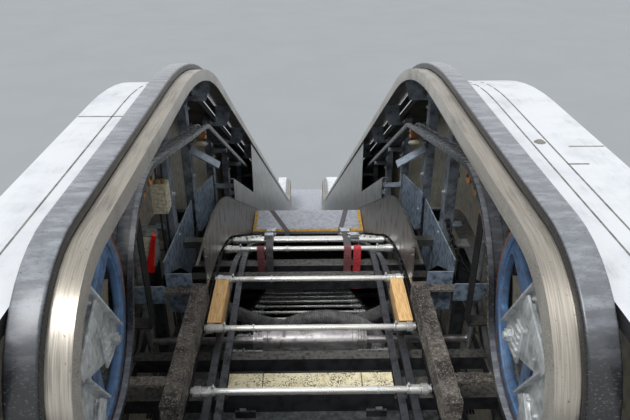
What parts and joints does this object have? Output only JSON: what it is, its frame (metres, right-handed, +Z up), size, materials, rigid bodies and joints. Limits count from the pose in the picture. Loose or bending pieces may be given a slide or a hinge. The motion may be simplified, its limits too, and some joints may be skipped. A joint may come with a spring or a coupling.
{
  "type": "escalator",
  "caption": "Escalator opened for repair: upper floor plates and inner panels off, step chains and tracks bare, blue handrail drive wheels in the newels.",
  "frame": {"origin": "middle of the flat underside of the upper bearing angle, on the middle plane of the steps", "axes": "+Y runs from the upper landing towards the lower one, +Z is up, +X is to the right of a person looking down the steps"},
  "size_m": [1.98, 20.2124, 10.105],
  "materials": {
    "bearing_steel": "matt, dusty",
    "truss_steel": "matt, dusty",
    "pit_steel": "oily and dusty",
    "soffit_steel": "matt",
    "side_sheet": "mottled, stained",
    "deck": "satin, worn",
    "handrail_rubber": "worn, grey-dusted",
    "band_steel": "brushed",
    "wheel_blue": "gloss, dusty",
    "wheel_tyre": "orange-brown polyurethane",
    "galvanised": "galvanised, streaked",
    "guide_steel": "dark, greasy",
    "guide_roller": "worn",
    "panel_steel": "brushed",
    "skirt_steel": "brushed, grimy",
    "post_steel": "dusty",
    "plate_steel": "blue-grey, greasy",
    "beam_steel": "caked with grime",
    "rail_steel": "oily",
    "chain_steel": "oily",
    "step_aluminium": "cleated, dusty",
    "axle_steel": "bright",
    "tube_steel": "scuffed",
    "hose_rubber": "corrugated",
    "pine": "sawn",
    "board": "speckled",
    "strap_web": "woven",
    "box_cream": "ribbed, dusty",
    "switch_grey": "dusty",
    "guard_red": "gloss",
    "hanging_steel": "oily",
    "comb_steel": "grooved",
    "floor_steel": "grooved"
  },
  "bodies": {
    "frame": {"bearing_angles": "bearing_steel", "truss_left": "truss_steel", "truss_right": "truss_steel", "truss_cross_members": "pit_steel", "pit_frame": "pit_steel", "soffit_pan": "soffit_steel", "side_sheets": "side_sheet", "outer_deck_left": "deck", "outer_deck_right": "deck", "handrail_left": "handrail_rubber", "handrail_right": "handrail_rubber", "guide_band_left": "band_steel", "guide_band_right": "band_steel", "newel_brackets": "galvanised", "return_guides": "guide_steel", "guide_rollers": "guide_roller", "inner_panel_left": "panel_steel", "inner_panel_right": "panel_steel", "skirt_left": "skirt_steel", "skirt_right": "skirt_steel", "balustrade_posts": "post_steel", "deflector_plates": "plate_steel", "comb_beams": "beam_steel", "track_left": "rail_steel", "track_right": "rail_steel", "step_chain_left": "chain_steel", "step_chain_right": "chain_steel", "steps": "step_aluminium", "return_steps": "step_aluminium", "bare_axles": "axle_steel", "cross_tube": "tube_steel", "air_hose": "hose_rubber", "timber_blocks": "pine", "pit_boards": "board", "lashing_straps": "strap_web", "junction_box": "box_cream", "guard_switch": "switch_grey", "switch_guard": "guard_red", "hanging_chain": "hanging_steel", "lower_comb_plate": "comb_steel", "floor_plates": "floor_steel"},
    "wheel_left": {"handrail_wheel_left": "wheel_blue", "wheel_tyre_left": "wheel_tyre"},
    "wheel_right": {"handrail_wheel_right": "wheel_blue", "wheel_tyre_right": "wheel_tyre"}
  },
  "joints": [
    {"name": "handrail_drive_left", "type": "hinge", "parent": "frame", "child": "wheel_left", "pos_m": [-0.63, 1.59, 0.73], "axis": [1, 0, 0], "continuous": true},
    {"name": "handrail_drive_right", "type": "hinge", "parent": "frame", "child": "wheel_right", "pos_m": [0.63, 1.59, 0.73], "axis": [1, 0, 0], "continuous": true}
  ]
}
